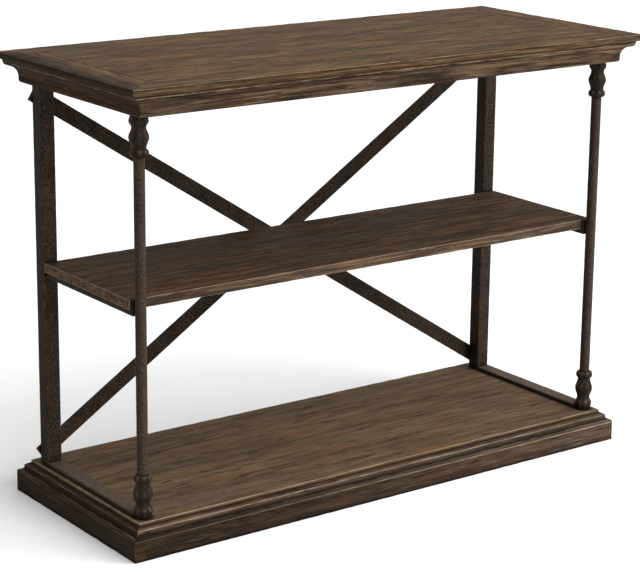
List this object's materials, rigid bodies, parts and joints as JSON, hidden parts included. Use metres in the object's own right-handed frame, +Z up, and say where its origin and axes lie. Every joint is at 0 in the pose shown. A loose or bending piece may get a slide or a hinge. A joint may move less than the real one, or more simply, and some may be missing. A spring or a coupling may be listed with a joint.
{
  "type": "console table",
  "caption": "Console table with a plank top on a deep cornice, turned iron front posts, square rear uprights with crossed braces, a middle shelf and a stepped plinth base.",
  "frame": {"origin": "centre of the plinth's footprint on the floor", "axes": "+X along the table's length, +Y to the cross-braced back, +Z up"},
  "size_m": [1.26, 0.528, 0.914],
  "materials": {
    "top_wood": "weathered, waxed",
    "cornice_wood": "weathered, waxed",
    "shelf_wood": "weathered, waxed",
    "deck_wood": "weathered, waxed",
    "plinth_wood": "weathered, waxed",
    "batten_wood": "sawn",
    "hammered_iron": "hammered, dark bronze",
    "fixings": "plain"
  },
  "bodies": {
    "root": {"top_border_front": "top_wood", "top_border_back": "top_wood", "top_border_left": "top_wood", "top_border_right": "top_wood", "top_plank_1": "top_wood", "top_plank_2": "top_wood", "top_plank_3": "top_wood", "top_plank_4": "top_wood", "cornice_front": "cornice_wood", "cornice_back": "cornice_wood", "cornice_left": "cornice_wood", "cornice_right": "cornice_wood", "top_batten_left": "batten_wood", "top_batten_centre": "batten_wood", "top_batten_right": "batten_wood", "shelf_plank_1": "shelf_wood", "shelf_plank_2": "shelf_wood", "shelf_plank_3": "shelf_wood", "deck_plank_1": "deck_wood", "deck_plank_2": "deck_wood", "deck_plank_3": "deck_wood", "deck_plank_4": "deck_wood", "base_moulding_front": "plinth_wood", "base_moulding_back": "plinth_wood", "base_moulding_left": "plinth_wood", "base_moulding_right": "plinth_wood", "plinth_front": "plinth_wood", "plinth_back": "plinth_wood", "plinth_left": "plinth_wood", "plinth_right": "plinth_wood", "base_batten_left": "batten_wood", "base_batten_centre": "batten_wood", "base_batten_right": "batten_wood", "front_left_post": "hammered_iron", "front_right_post": "hammered_iron", "upper_baluster_left": "hammered_iron", "upper_baluster_right": "hammered_iron", "lower_baluster_left": "hammered_iron", "lower_baluster_right": "hammered_iron", "rear_left_upright": "hammered_iron", "rear_right_upright": "hammered_iron", "upright_foot_plugs": "fixings", "upright_head_plugs": "fixings", "bottom_rail_left": "hammered_iron", "bottom_rail_right": "hammered_iron", "shelf_rail_left": "hammered_iron", "shelf_rail_right": "hammered_iron", "brace_rising": "hammered_iron", "brace_falling": "hammered_iron", "brace_rivet": "hammered_iron", "brace_bolts": "hammered_iron", "frame_bolts": "fixings", "frame_washers": "fixings", "frame_studs": "fixings", "rail_screws": "fixings", "shelf_screws": "fixings", "top_batten_screws": "fixings", "base_batten_screws": "fixings"}
  },
  "joints": []
}
